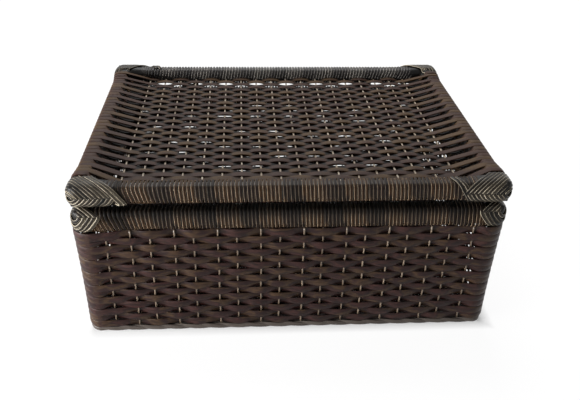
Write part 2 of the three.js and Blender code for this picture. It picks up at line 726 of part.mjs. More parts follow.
// Body: walls, posts, base and floor
const wall = solidOf(wallWeave()).subtract(underRimCorners()).subtract(wallSlots());
addToBody('wall_weave', wall, STRIP);
const lean = Math.atan2(WALL_TAPER, WALL_TOP - WALL_BOTTOM);
const footBehind = WALL_TAPER - WALL_PROUD; // the wall's foot behind the rim's face
const stakesBehind = footBehind + STRIP_LAYER + FIT + STAKE / 2;
const rodsBehind = footBehind + BASE_ROD_IN;
for (const { side, turn, long, across } of sidesOf(BODY_WIDTH, BODY_DEPTH)) {
  const comb = addToBody(`wall_stakes_${side}`, solidOf(stakeComb(long)), ROUND_CORE);
  comb.rotation.x = lean;
  turnTo(comb, turn, stakesBehind - across / 2, WALL_BOTTOM);
  const baseShape = baseRod(long - 2 * rodsBehind, across - 2 * rodsBehind);
  const baseMesh = addToBody(`base_rod_${side}`, baseShape, POLE);
  turnTo(baseMesh, turn, rodsBehind - across / 2, BASE_ROD_Z);
}
for (const { corner, x, y } of CORNERS) addToBody(`corner_post_${corner}`, post(x, y), POLE);
addToBody('base_border', border(), BINDING);
addToBody('floor_stakes', floorStakes(), ROUND_CORE);
addToBody('floor_weave', floorWeave(), STRIP);

// Lid: panel and stakes
addToLid('lid_weave', panelWeave(), STRIP);
addToLid('lid_stakes', panelStakes(), ROUND_CORE);

// Hinges
for (const [name, side] of [['left', -1], ['right', 1]]) {
  const at = (mesh, parent) => {
    mesh.position.x = side * hingeX;
    if (parent === box) mesh.position.add(new THREE.Vector3(0, AXIS_Y, AXIS_Z));
    return mesh;
  };
  at(add(box, `hinge_leaf_rim_${name}`, leaf(-1), STEEL), box);
  at(add(box, `hinge_pin_${name}`, hingePin(), STEEL), box);
  at(add(lid, `hinge_leaf_lid_${name}`, leaf(1), STEEL), lid);
  for (const [number, x] of [[1, -screwX], [2, screwX]]) {
    at(add(box, `hinge_screw_rim_${name}_${number}`, screw(-1), STEEL), box).position.x += x;
    at(add(lid, `hinge_screw_lid_${name}_${number}`, screw(1), STEEL), lid).position.x += x;
  }
}

export default box;
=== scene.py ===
# A woven rattan storage box with a hinged lid, dressed round its CAD frame.
# Sizes are in millimetres, and every mesh is turned into metres when it is made.
import json
import math

import bpy
import numpy as np
from mathutils import Matrix, Vector

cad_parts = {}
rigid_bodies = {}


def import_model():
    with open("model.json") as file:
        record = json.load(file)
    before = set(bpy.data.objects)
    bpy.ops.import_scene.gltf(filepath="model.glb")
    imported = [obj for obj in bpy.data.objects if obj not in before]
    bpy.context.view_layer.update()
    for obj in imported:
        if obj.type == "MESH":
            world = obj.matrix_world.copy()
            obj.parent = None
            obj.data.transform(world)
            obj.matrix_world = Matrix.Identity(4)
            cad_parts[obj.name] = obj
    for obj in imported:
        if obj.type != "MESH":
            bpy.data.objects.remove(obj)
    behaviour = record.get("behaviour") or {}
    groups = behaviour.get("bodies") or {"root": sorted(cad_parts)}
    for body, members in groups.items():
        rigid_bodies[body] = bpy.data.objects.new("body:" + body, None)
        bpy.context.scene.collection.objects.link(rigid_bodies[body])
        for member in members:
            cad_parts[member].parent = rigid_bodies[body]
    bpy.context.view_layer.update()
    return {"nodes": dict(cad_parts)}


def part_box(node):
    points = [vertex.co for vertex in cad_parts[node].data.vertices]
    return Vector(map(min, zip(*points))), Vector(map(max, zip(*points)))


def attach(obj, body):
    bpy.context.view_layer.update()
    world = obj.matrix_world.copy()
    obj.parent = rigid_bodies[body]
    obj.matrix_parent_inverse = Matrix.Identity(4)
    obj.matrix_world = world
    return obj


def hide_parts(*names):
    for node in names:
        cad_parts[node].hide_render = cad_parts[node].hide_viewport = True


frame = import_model()

MM = 0.001
UP = np.array([0, 0, 1.0])
rng = np.random.default_rng(11)
ANY_PHASE = 6.3  # waves start anywhere from 0 to this

# Camera, in pixels, millimetres and degrees
IMAGE_WIDTH = 580
FOCAL_PIXELS = 700
SENSOR = 36
CAMERA_AT = (-51, -789.1, 533.9)
CAMERA_YAW, CAMERA_PITCH, CAMERA_ROLL = 4.41, 30.68, 1.54

# Stock that the box is woven from
STAKE_R = 1.05
STAKE_PITCH = 22.7
STAKE_PAIR = 1.3  # all but the end stakes stand in pairs, each this much nearer to the other
PANEL_STAKE_PITCH = 21
STRIP_THICK = 1.1
STRIP_CROWN = 0.75
LID_CROWN = 0.35  # the lid's strips are flatter
CANE_TURN = 4  # pitch of the cane wound round a rail
CANE = 2.95  # width of that cane
CANE_THICK = 0.7
CANE_CROWN = 0.45
FISHBONE_PITCH = 4.75  # of the cane plaited round a corner
FISHBONE = 3.5
RAIL_EDGE = 5.3  # rounding of the bound rails' long edges
CORNER_ROUND = 9.8  # radius of their upright corners

SIDES = ["front", "right", "back", "left"]
CORNERS = [("front_right", 1, -1), ("back_right", 1, 1), ("back_left", -1, 1), ("front_left", -1, -1)]


def node_box(name):
    """A CAD node's lowest and highest corners in millimetres."""
    low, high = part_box(name)
    return np.array(low) / MM, np.array(high) / MM


class Rails:
    """One frame of four bound rails, as the CAD has it."""

    def __init__(self, prefix, body):
        self.prefix, self.body = prefix, body
        boxes = {side: node_box(f"{prefix}_binding_{side}") for side in SIDES}
        front, back, right = boxes["front"], boxes["back"], boxes["right"]
        self.half = np.array([right[1][0], (back[1][1] - front[0][1]) / 2])
        self.middle = np.array([0, (back[1][1] + front[0][1]) / 2, 0])
        self.deep = right[1][0] - right[0][0]
        self.bottom, self.top = front[0][2], front[1][2]
        self.tall = self.top - self.bottom
        self.mid = (self.top + self.bottom) / 2


wall_low, wall_high = node_box("wall_weave")
border_low, border_high = node_box("base_border")
floor_low, floor_high = node_box("floor_weave")
floor_stake_low, floor_stake_high = node_box("floor_stakes")
panel_low, panel_high = node_box("lid_weave")
rim = Rails("rim", "box")
lid = Rails("lid", "lid")


def to_linear(red, green, blue):
    """A colour as it is seen, 0 to 255, as the shader's own numbers."""
    def one(value):
        value /= 255
        return value / 12.92 if value <= 0.04045 else ((value + 0.055) / 1.055) ** 2.4
    return (one(red), one(green), one(blue), 1)


# Meshes

CROWN_STEPS = 4
BACK_WIDE = 0.84  # a strip's inner face, as a share of its width
GRAIN_RUN = 500  # the grain of a bar starts anywhere along this length


def crowned(width, thick, crown):
    """A strip's section: a crowned outer face over a flat inner one, with the middle at 0, 0."""
    turns = [math.pi * k / CROWN_STEPS for k in range(CROWN_STEPS, -1, -1)]
    face = [(-math.cos(turn) * width / 2, thick / 2 + crown * math.sin(turn)) for turn in turns]
    back = [(side * BACK_WIDE * width / 2, -thick / 2) for side in (-1, 0, 1)]
    return np.array(face + back)


def circle(radius, sides):
    """The section of a round bar."""
    turn = 2 * math.pi / sides
    return np.array([(radius * math.cos(k * turn), radius * math.sin(k * turn)) for k in range(sides)])


def unit(vectors):
    return vectors / np.linalg.norm(vectors, axis=-1, keepdims=True)


def tangents(path, closed):
    """The way along a path at each of its points."""
    if closed:
        return unit(np.roll(path, -1, 0) - np.roll(path, 1, 0))
    return unit(np.gradient(path, axis=0))


class Bars:
    """Bars of one section swept along many paths, gathered into one mesh."""

    def __init__(self):
        self.points, self.faces, self.sizes = [], [], []
        # the last layer is painted light: where it is below 1, the material paints shade
        self.layers = {"along": [], "across": [], "tint": [], "painted_lightness": []}
        self.count = 0

    def add(self, path, out, section, closed=False, tint=None, wide=1.0, painted_lightness=1.0):
        """Sweeps the section along a path. out is the way its outer face looks at each point, wide widens
        it, and tint and the last argument, from 0 to 1, are read by its material: the last is painted light,
        and where it is low the material paints shade."""
        path = np.asarray(path, float)
        along = tangents(path, closed)
        across = unit(np.cross(out, along))
        out = unit(np.cross(along, across))
        wide = np.broadcast_to(np.asarray(wide, float), len(path))[:, None, None]
        u, v = section[:, 0], section[:, 1]
        points = path[:, None] + wide * across[:, None] * u[None, :, None] + out[:, None] * v[None, :, None]
        steps = np.linalg.norm(np.diff(path, axis=0), axis=1)
        length = np.concatenate([[0], np.cumsum(steps)]) + rng.uniform(0, GRAIN_RUN)
        tint = rng.uniform() if tint is None else tint
        self.skin(points, closed, length, u / np.abs(u).max(), tint, painted_lightness)

    def skin(self, points, closed, length, across, tint, painted_lightness=1.0):
        """Adds a bar through rings of points, which closes on itself or has flat ends."""
        rings, n = points.shape[:2]
        self.layers["along"].append(np.repeat(length, n))
        self.layers["across"].append(np.tile(across, rings))
        self.layers["tint"].append(np.repeat(np.broadcast_to(tint, rings), n))
        self.layers["painted_lightness"].append(np.repeat(np.broadcast_to(painted_lightness, rings), n))
        here = np.arange(n)
        ring = self.count + np.arange(rings if closed else rings - 1)[:, None] * n
        after = self.count + (np.arange(len(ring)) + 1)[:, None] % rings * n
        low, low_next = ring + here, ring + (here + 1) % n
        high, high_next = after + here, after + (here + 1) % n
        quads = np.stack([low, high, high_next, low_next], -1).reshape(-1, 4)
        self.faces.append(quads.ravel())
        self.sizes.append(np.full(len(quads), 4))
        if not closed:
            last = self.count + (rings - 1) * n
            self.faces += [self.count + here, last + here[::-1]]
            self.sizes += [np.array([n]), np.array([n])]
        self.points.append(points.reshape(-1, 3))
        self.count += rings * n

    def make(self, name, material, body, slot, *nodes):
        """Makes the mesh, which rides on a body and stands for the CAD nodes."""
        mesh = bpy.data.meshes.new(name)
        points = np.concatenate(self.points) * MM
        faces = np.concatenate(self.faces)
        sizes = np.concatenate(self.sizes)
        mesh.vertices.add(len(points))
        mesh.vertices.foreach_set("co", points.astype(np.float32).ravel())
        mesh.loops.add(len(faces))
        mesh.loops.foreach_set("vertex_index", faces.astype(np.int32))
        mesh.polygons.add(len(sizes))
        starts = np.concatenate([[0], np.cumsum(sizes)[:-1]])
        mesh.polygons.foreach_set("loop_start", starts.astype(np.int32))
        mesh.update(calc_edges=True)
        mesh.polygons.foreach_set("use_smooth", np.ones(len(sizes), bool))
        for layer, values in self.layers.items():
            data = mesh.attributes.new(layer, "FLOAT", "POINT")
            data.data.foreach_set("value", np.concatenate(values).astype(np.float32))
        mesh.validate()
        mesh.materials.append(material)
        piece = bpy.data.objects.new(name, mesh)
        bpy.context.scene.collection.objects.link(piece)
        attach(piece, body)
        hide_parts(*nodes)


def wave(places, values, steps):
    """Places and values between the given ones, on half waves, so that each given one is a crest."""
    share = np.arange(steps) / steps
    ease = (1 - np.cos(np.pi * share)) / 2
    between = np.concatenate([a + (b - a) * share for a, b in zip(places[:-1], places[1:])])
    height = np.concatenate([a + (b - a) * ease for a, b in zip(values[:-1], values[1:])])
    return np.append(between, places[-1]), np.append(height, values[-1])


# Materials


class Nodes:
    """A material's node tree, with short ways to add and join nodes."""

    def __init__(self, name):
        self.material = bpy.data.materials.new(name)
        self.material.use_nodes = True
        self.tree = self.material.node_tree
        self.shader = self.tree.nodes["Principled BSDF"]

    def plug(self, socket, value):
        """Joins another node's output to an input, or gives it a plain value."""
        if isinstance(value, bpy.types.NodeSocket):
            self.tree.links.new(value, socket)
        else:
            socket.default_value = value

    def add(self, kind, values=None, **settings):
        """A new node with these settings and with these values of its inputs."""
        node = self.tree.nodes.new(kind)
        for key, value in settings.items():
            setattr(node, key, value)
        for key, value in (values or {}).items():
            self.plug(node.inputs[key], value)
        return node

    def attribute(self, name):
        return self.add("ShaderNodeAttribute", attribute_name=name).outputs["Fac"]

    def math(self, operation, a, b=0.0):
        return self.add("ShaderNodeMath", {0: a, 1: b}, operation=operation).outputs[0]

    def noise(self, vector, scale, detail=2.0, roughness=0.5):
        values = {"Vector": vector, "Scale": scale, "Detail": detail, "Roughness": roughness}
        return self.add("ShaderNodeTexNoise", values).outputs["Fac"]

    def dim(self, colour, factor, low, high, least):
        """Darkens a colour to its least share up to the low factor, and not at all from the high one."""
        share = self.ramp(factor, [(low, (least, least, least, 1)), (high, (1, 1, 1, 1))])
        return self.mix(1.0, colour, share, "MULTIPLY")

    def ramp(self, factor, stops):
        node = self.add("ShaderNodeValToRGB", {"Fac": factor})
        elements = node.color_ramp.elements
        while len(elements) < len(stops):
            elements.new(0.5)
        for element, (place, colour) in zip(elements, stops):
            element.position = place
            element.color = colour
        return node.outputs["Color"]

    def mix(self, factor, a, b, blend="MIX"):
        inputs = {0: factor, 6: a, 7: b}
        return self.add("ShaderNodeMix", inputs, data_type="RGBA", blend_type=blend).outputs[2]

    def set(self, **values):
        """Sets inputs of the material's own shader, whose names have underscores here."""
        for key, value in values.items():
            self.plug(self.shader.inputs[key.replace("_", " ")], value)
        return self.material


TINT_STEP = 97.0  # sets the noise of bars with different tints apart
FIBRES = (0.02, 2.2)  # of the noise, to a mm along a strip and to half its width across
PATCHES = (0.03, 0.35)
FIBRE_NOISE = (3.0, 3.0)  # scale and detail
PATCH_NOISE = (1.3, 2.0)
STREAKS = (0.3, 0.62)  # values of the noise between which a streak ends
EDGE_FROM = 0.7  # share of its half width at which a strip's pale cut edge starts
EDGE_RISE = 5.0
EDGE_TINT = (0.8, 0.25)  # how strong the edge is: so much for its tint, and so much on any strip
GRAIN_BUMP = {"Strength": 0.25, "Distance": 0.0004}  # in metres


def cane_material(name, tones, edge=None, streak=0.5, rough=(0.34, 0.5), coat=0.0, shine=0.35, patchy=1.1,
                  painted_dip_shade=None):
    """Stained cane or strip: patches of tones along it, streaks and pale cut edges. The last argument gives
    painted shade: how dark it is painted where the painted-light layer is low, and that layer's two values
    between which it rises to its full tone."""
    nodes = Nodes(name)
    along, across, tint = (nodes.attribute(layer) for layer in ("along", "across", "tint"))
    strip = nodes.math("MULTIPLY", tint, TINT_STEP)

    def grain(stretch, scale, detail):
        place = nodes.add("ShaderNodeCombineXYZ", {
            "X": nodes.math("MULTIPLY", along, stretch[0]),
            "Y": nodes.math("MULTIPLY", across, stretch[1]),
            "Z": strip,
        })
        return nodes.noise(place.outputs[0], scale, detail)

    fine = grain(FIBRES, *FIBRE_NOISE)
    broad = grain(PATCHES, *PATCH_NOISE)
    shift = nodes.math("MULTIPLY", nodes.math("SUBTRACT", broad, 0.5), patchy)
    stops = [(k / (len(tones) - 1), to_linear(*tone)) for k, tone in enumerate(tones)]
    colour = nodes.ramp(nodes.math("ADD", tint, shift), stops)
    colour = nodes.dim(colour, fine, *STREAKS, 1 - streak)
    if edge:
        line = nodes.math("SUBTRACT", nodes.math("ABSOLUTE", across), EDGE_FROM)
        line = nodes.math("MAXIMUM", nodes.math("MULTIPLY", line, EDGE_RISE), 0.0)
        strength = nodes.math("ADD", nodes.math("MULTIPLY", tint, EDGE_TINT[0]), EDGE_TINT[1])
        line = nodes.math("MULTIPLY", nodes.math("MINIMUM", line, 1.0), strength)
        colour = nodes.mix(line, colour, to_linear(*edge))
    # painted shade in the dips and under the lid, where the painted-light layer is low
    if painted_dip_shade:
        share, low, high = painted_dip_shade
        colour = nodes.dim(colour, nodes.attribute("painted_lightness"), low, high, share)
    roughness = nodes.add("ShaderNodeMapRange", {"Value": fine, "To Min": rough[0], "To Max": rough[1]})
    height = nodes.add("ShaderNodeBump", {"Height": fine, **GRAIN_BUMP})
    return nodes.set(Base_Color=colour, Roughness=roughness.outputs[0], Normal=height.outputs[0],
                     Specular_IOR_Level=shine, Coat_Weight=coat, Coat_Roughness=0.3)


FINISH_NOISE = (4.0, 0.6)  # detail and roughness
FINISH_TONES = (0.3, 0.7)  # values of the noise between which one tone turns into the other
FINISH_BUMP = {"Strength": 0.2, "Distance": 0.0005}


def object_material(name, tones, scale, stretch, rough, metallic):
    """A finish in the object's own space, for the CAD pieces that show as they are."""
    nodes = Nodes(name)
    place = nodes.add("ShaderNodeTexCoord").outputs["Object"]
    grain = nodes.add("ShaderNodeMapping", {"Vector": place, "Scale": stretch}).outputs[0]
    noise = nodes.noise(grain, scale, *FINISH_NOISE)
    colour = nodes.ramp(noise, [(place, to_linear(*tone)) for place, tone in zip(FINISH_TONES, tones)])
    height = nodes.add("ShaderNodeBump", {"Height": noise, **FINISH_BUMP})
    return nodes.set(Base_Color=colour, Roughness=rough, Metallic=metallic, Normal=height.outputs[0])


MATT = (0.5, 0.62)  # roughness
# the last values of these give painted shade in the strips' dips and on the rim under the lid
WALL_CANE = cane_material(
    "wall_strip", [(52, 23, 20), (31, 17, 15), (59, 35, 31), (36, 20, 19), (69, 50, 34), (43, 25, 23)],
    coat=0.02, shine=0.18, patchy=2.2, painted_dip_shade=(0.55, 0.05, 0.5))
LID_CANE = cane_material(
    "lid_strip", [(53, 35, 29), (68, 48, 39), (58, 40, 34), (82, 62, 40), (74, 54, 45)],
    rough=MATT, shine=0.1, painted_dip_shade=(0.04, 0.34, 0.56))
BINDING_CANE = cane_material(
    "binding", [(16, 11, 10), (27, 18, 16), (36, 25, 21), (51, 33, 18), (47, 35, 28)],
    edge=(164, 142, 117), streak=0.45, rough=MATT, shine=0.1, patchy=0.5, painted_dip_shade=(0.16, 0.0, 1.0))
# a lighter, greyer copy of the binding's cane for the lid's back rail: painted light
BACK_RAIL_LIT_CANE = cane_material(
    "back_binding_lit", [(29, 26, 27), (38, 35, 36), (46, 43, 42), (56, 52, 50)],
    edge=(200, 192, 182), shine=0.18, patchy=0.5)
# its first, near-black tone is painted shade, for the core seen in the gaps between the strips
FISHBONE_CANE = cane_material(
    "fishbone", [(8, 7, 6), (38, 32, 26), (60, 54, 44)], edge=(196, 184, 162), streak=0.4, shine=0.15)
STAKE_CORE = cane_material(
    "stake", [(100, 85, 70), (138, 120, 101)], streak=0.3, rough=(0.22, 0.36), coat=0.5)
# the stakes' cane again, painted lighter on the lid as painted light from above
LID_STAKE_LIT = cane_material("lid_stake", [(156, 140, 120), (196, 182, 162)], streak=0.3)
BORDER_CORE = cane_material("border", [(58, 50, 46), (78, 69, 63), (92, 84, 77)], streak=0.3)
# the poles' dark stain, taken down to near black as painted shade in the gaps between the cane's turns
POLE_STAIN_AND_SHADE = object_material("pole", [(20, 15, 12), (30, 23, 18)], 220.0, (0.08, 0.08, 1.0), 0.6, 0.0)
HINGE_METAL = object_material("hinge", [(52, 40, 28), (70, 56, 40)], 300.0, (1, 1, 1), 0.35, 0.8)


# What the body and the lid share


STRIP = crowned(1.0, STRIP_THICK, STRIP_CROWN)
LID_STRIP = crowned(1.0, STRIP_THICK, LID_CROWN)
STRIP_OUT = STRIP_THICK / 2 + STRIP_CROWN  # from a strip's middle to its crest
CANE_OUT = CANE_THICK / 2 + CANE_CROWN
STEPS = 8  # of a strip from stake to stake
STAKE_SIDES = 8


def side_ways(side):
    """The way along one side of the box and the way out of it, for the front, right, back and left."""
    turn = side * math.pi / 2
    return (np.array([math.cos(turn), math.sin(turn), 0]), np.array([math.sin(turn), -math.cos(turn), 0]))


# Body: walls

WALL_ROWS = 15
WALL_ROUND = 16
WALL_ROUND_STEPS = 6
STRIP_IN = 3.9  # from a woven face to the axis of its stakes
SWING = 2.0  # how far a strip swings to either side of the stakes' axis
SWING_SPREAD = 0.15  # and how unevenly
CORNER_OUT = 3.2  # how far outside that axis the strips go round the corners
WALL_FLARE = 3  # how much further out the wall's corners stand at the top
FLARE_RUN = 45  # how far along the walls the flare dies away
CORNER_PAIR = 0.45  # how far the rows close up in pairs at the corners
PAIR_RUN = 30  # how far from the corners the pairs die away
ROW_DRIFT = 0.16  # a row's waves up and down, each this high
DRIFT_RATES = (7, 17, 29)  # and so many to a round of the box
STRIP_WIDE = 0.98  # a strip's width between stakes, as a share of its row
STRIP_SWELL = 0.14  # how much of the row wider it looks over a stake
TOP_ROW_WIDE = 1.14  # the top row reaches up to the rim's binding
STRIP_TINTS = (0.2, 0.8)
STAKE_SWAY = 0.25  # how far a stake bends to either side
SWAY_RUN = 11


def stake_places(half):
    """Where the stakes of one side stand, in pairs."""
    count = 2 * math.floor(half / STAKE_PITCH + 0.5)
    pair = np.where(np.arange(count) % 2, STAKE_PAIR, -STAKE_PAIR)
    return (np.arange(count) - (count - 1) / 2) * STAKE_PITCH + pair


wall_row = (wall_high[2] - wall_low[2]) / WALL_ROWS
wall_middle = np.array([0, (wall_low[1] + wall_high[1]) / 2, 0])
top_row = 1 - 0.5 / WALL_ROWS  # how high the top row's middle is, as a share of the wall's height
wall_half = (wall_high - wall_low)[:2] / 2 - WALL_FLARE * top_row ** 2
foot_half = (border_high - border_low)[:2] / 2
side_stakes = [stake_places(half - WALL_ROUND) for half in wall_half]


def half_at(z):
    """Half the wall's size along x and y at one level."""
    share = (z - wall_low[2]) / (wall_high[2] - wall_low[2])
    return foot_half + (wall_half - foot_half) * share


def flare(share, from_corner):
    """How far the wall stands out at a share of its height, this far from a corner's round."""
    return WALL_FLARE * share ** 2 * np.maximum(1 - from_corner / FLARE_RUN, 0)


def around(half, radius, keys, steps, arc_steps):
    """A closed route round the box. keys gives a side's places, from minus end to end, and swings.
    Returns the points, the way out of the box at each, and their swings."""
    points, outs, all_swings = [], [], []
    for side in range(4):
        ahead, out = (way[:2] for way in side_ways(side))
        far, near = half if side % 2 == 0 else half[::-1]
        places, swings = keys(side, far - radius)
        s, v = wave(places, swings, steps)
        points.append(ahead * s[:, None] + out * (near + v)[:, None])
        outs.append(np.repeat(out[None], len(s), 0))
        centre = ahead * (far - radius) + out * (near - radius)
        bend = (np.arange(1, arc_steps) / arc_steps * math.pi / 2)[:, None]
        way = out * np.cos(bend) + ahead * np.sin(bend)
        points.append(centre + way * (radius + v[-1]))
        outs.append(way)
        all_swings += [v, np.repeat(v[-1], len(way))]
    return np.concatenate(points), np.concatenate(outs), np.concatenate(all_swings)


def leaf(swing):
    """How wide a strip looks against its row: widest where it lies over or under a stake."""
    return STRIP_WIDE + STRIP_SWELL * np.minimum(np.abs(swing / SWING), 1) ** 2


def painted_lightness_of(swing):
    """How near a strip is to its crests, from 0 to 1, as painted light: its material paints shade where this
    is low.
    """
    return np.clip(0.5 + swing / SWING / 2, 0, 1)


def wall_weave():
    """Rows of flat strip, each a ring over and under every other stake."""
    bars = Bars()
    section = STRIP * (wall_row, 1)
    stakes_before = np.cumsum([0] + [len(side_stakes[side % 2]) for side in range(3)])
    for row in range(WALL_ROWS):
        share = (row + 0.5) / WALL_ROWS
        level = wall_low[2] + (row + 0.5) * wall_row
        corner_out = CORNER_OUT + flare(share, 0)

        def keys(side, end):
            places = side_stakes[side % 2]
            over = np.where((np.arange(len(places)) + stakes_before[side] + row) % 2, -1.0, 1.0)
            swings = SWING * over + rng.normal(0, SWING_SPREAD, len(places))
            swings += flare(share, end - np.abs(places))
            return np.r_[-end, places, end], np.r_[corner_out, swings, corner_out]

        flat, out, swing = around(half_at(level) - STRIP_IN, WALL_ROUND - STRIP_IN, keys, STEPS,
                                  WALL_ROUND_STEPS)
        n = len(flat)
        turn = np.arange(n) / n * 2 * math.pi
        drift = sum(ROW_DRIFT * np.sin(turn * rate + rng.uniform(0, ANY_PHASE)) for rate in DRIFT_RATES)
        from_corner = (half_at(level) - np.abs(flat)).max(1) - WALL_ROUND
        other_pair = (row + (flat[:, 0] * flat[:, 1] > 0)) % 2
        pair = np.where(other_pair, -CORNER_PAIR, CORNER_PAIR) * np.clip(1 - from_corner / PAIR_RUN, 0, 1)
        path = np.column_stack([flat, level + drift + pair]) + wall_middle
        wide = leaf(swing) * (TOP_ROW_WIDE if row == WALL_ROWS - 1 else 1)
        bars.add(path, np.column_stack([out, np.zeros(n)]), section, closed=True,
                 tint=rng.uniform(*STRIP_TINTS), wide=wide, painted_lightness=painted_lightness_of(swing))
    bars.make("woven_walls", WALL_CANE, "box", "wall_strip", "wall_weave")


def wall_stakes():
    """The round stakes of the four walls, leaning as the walls do."""
    section = circle(STAKE_R, STAKE_SIDES)
    for side, name in enumerate(SIDES):
        bars = Bars()
        ahead, out = side_ways(side)
        for place in side_stakes[side % 2]:
            levels = np.linspace(wall_low[2], wall_high[2], 2 * WALL_ROWS + 1)
            inset = np.array([half_at(z)[1 - side % 2] for z in levels]) - STRIP_IN
            share = (levels - wall_low[2]) / (wall_high[2] - wall_low[2])
            end = wall_half[side % 2] - WALL_ROUND
            inset += flare(share, end - abs(place))
            path = ahead * place + out * inset[:, None] + wall_middle
            path[:, 2] = levels
            path += ahead * (STAKE_SWAY * np.sin(levels / SWAY_RUN + rng.uniform(0, ANY_PHASE)))[:, None]
            bars.add(path, np.repeat(out[None], len(levels), 0), section)
        bars.make(f"stakes_{name}", STAKE_CORE, "box", "stake", f"wall_stakes_{name}")


wall_weave()
wall_stakes()


# Body: foot and floor

LAY = 2 * STAKE_PITCH  # length of one twist of the border's strands
STRAND_TALL = 5.6
STRAND_DEEP = 3.0
STRAND_SIDES = 10
STRAND_SWING = 0.3  # how far a strand swings in and out, as a share of its depth
SIDE_PLACES = 40  # along each side of the foot
PLACE_STEPS = 2
FOOT_ROUND_STEPS = 8
FLOOR_ROWS = 39
FLOOR_WIDE = 0.97  # a floor strip's width, as a share of its row
FLOOR_STEPS = 6
ROD_POINTS = 9


def foot_border():
    """Two strands of core twisted round each other all round the foot."""
    bars = Bars()
    tall = border_high[2] - border_low[2]
    radius = WALL_ROUND - STRIP_IN
    half = foot_half - STRAND_DEEP
    straight = 4 * (half.sum() - 2 * radius)
    twists = 2 * round((straight + 2 * math.pi * radius) / LAY / 2)

    def keys(side, end):
        return np.linspace(-end, end, SIDE_PLACES), np.zeros(SIDE_PLACES)

    flat, out, _ = around(half, radius, keys, PLACE_STEPS, FOOT_ROUND_STEPS)
    steps = np.linalg.norm(np.roll(flat, -1, 0) - flat, axis=1)
    turn = (np.cumsum(steps) - steps) / steps.sum() * twists * 2 * math.pi
    section = circle(0.5, STRAND_SIDES) * (STRAND_TALL, STRAND_DEEP)
    for strand in range(2):
        phase = turn + strand * math.pi
        rise = (tall - STRAND_TALL) / 2 * np.cos(phase)
        swing = STRAND_SWING * STRAND_DEEP * np.sin(phase)
        path = np.column_stack([flat + out * swing[:, None], border_low[2] + tall / 2 + rise]) + wall_middle
        bars.add(path, np.column_stack([out, np.zeros(len(flat))]), section, closed=True)
    bars.make("foot_border", BORDER_CORE, "box", "border", "base_border")


def floor_weave():
    """Flat strips from side to side, over and under the floor's stakes."""
    bars = Bars()
    half = (floor_high - floor_low)[:2] / 2
    pitch = 2 * half[1] / FLOOR_ROWS
    section = STRIP * (pitch * FLOOR_WIDE, 1)
    axis = (floor_stake_low[2] + floor_stake_high[2]) / 2
    top = floor_high[2] - STRIP_OUT
    for row in range(FLOOR_ROWS):
        y = floor_low[1] + (row + 0.5) * pitch
        places = side_stakes[0]
        over = np.where((np.arange(len(places)) + row) % 2, 1.0, -1.0)
        x, z = wave(np.r_[-half[0], places, half[0]], np.r_[top, axis + SWING * over, top], FLOOR_STEPS)
        path = np.column_stack([x, np.full(len(x), y), z])
        bars.add(path, np.tile(UP, (len(x), 1)), section, tint=rng.uniform(*STRIP_TINTS))
    bars.make("woven_floor", WALL_CANE, "box", "wall_strip", "floor_weave")
    rods = Bars()
    for x in side_stakes[0]:
        ys = np.linspace(floor_stake_low[1], floor_stake_high[1], ROD_POINTS)
        path = np.array([[x, y, axis] for y in ys])
        rods.add(path, np.tile(UP, (len(path), 1)), circle(STAKE_R, STAKE_SIDES))
    rods.make("floor_rods", STAKE_CORE, "box", "stake", "floor_stakes")


foot_border()
floor_weave()


# Rails: the cane wound round them

EDGES = np.array([(1, 1), (-1, 1), (-1, -1), (1, -1)])  # the long edges of a rail, going round it
FACES = np.array([(0, 1), (-1, 0), (0, -1), (1, 0)])  # and the face that follows each one
EDGE_BENDS = (0, 30, 60, 90)
PALE_TURNS, DARK_TURNS = 6, 5  # the cane is laid in pale and dark groups by turns
PALE_TINT, DARK_TINT, TINT_SPREAD = 0.72, 0.18, 0.18
CANE_WIDTHS = (0.9, 1.06)
CANE_WANDER = 0.14  # how unevenly the turns lie
LEG_UNDER = 17  # how near to a corner the first turn of cane is laid
LIFT_PLACES = (17, 28, 50, 54)  # distances from a corner at which the cane's lift is given
RIM_LIFTS = (1.2, 2.6, 0.9, 0.0)
LID_LIFTS = (0.6, 1.2, 0.5, 0.0)
RIM_LEAN = ((46, 60, 75, 95), (0.42, 0.33, 0.2, 0.12))  # the slant by the distance from a rail's start
LID_LEAN = ((56, 75, 95, 115), (0.4, 0.32, 0.22, 0.14))
SEAM_SHADE = ((4.9, 6.3), (0.0, 1.0))  # painted shadow: how light the rim's cane is painted by the distance below the rim's top


def rail_round(rails, inset):
    """One round of a rail's section, from the middle of its outer face up and over: points with u out
    from the bound face and v up from the rail's middle, their outward ways and their share of the round."""
    half = np.array([rails.deep, rails.tall]) / 2 - inset
    radius = RAIL_EDGE - inset
    points, ways = [FACES[-1] * half], [FACES[-1]]
    for turn, (edge, face) in enumerate(zip(EDGES, FACES)):
        for bend in EDGE_BENDS:
            angle = math.radians(90 * turn + bend)
            way = np.array([math.cos(angle), math.sin(angle)])
            points.append(edge * (half - radius) + radius * way)
            ways.append(way)
        points.append(face * half)
        ways.append(face)
    points, ways = np.array(points[:-1]), np.array(ways[:-1])
    steps = np.linalg.norm(np.roll(points, -1, 0) - points, axis=1)
    share = (np.cumsum(steps) - steps) / steps.sum()
    return points - (rails.deep / 2, 0), ways, share


UP_AND_OVER = np.r_[15:20, 0:7]  # of that round: from the underside up the outer face and over the top
WRAP = np.r_[13:20, 0:7]  # and the same, but from the inner face's lower edge on


def seam_shade(rails, points):
    """How light the cane is painted, from 0 to 1: the rim's gets painted shadow where it lies under the lid.
    """
    below_top = rails.tall / 2 - points[:, 1]
    return np.interp(below_top, *SEAM_SHADE) if rails is rim else np.ones(len(points))


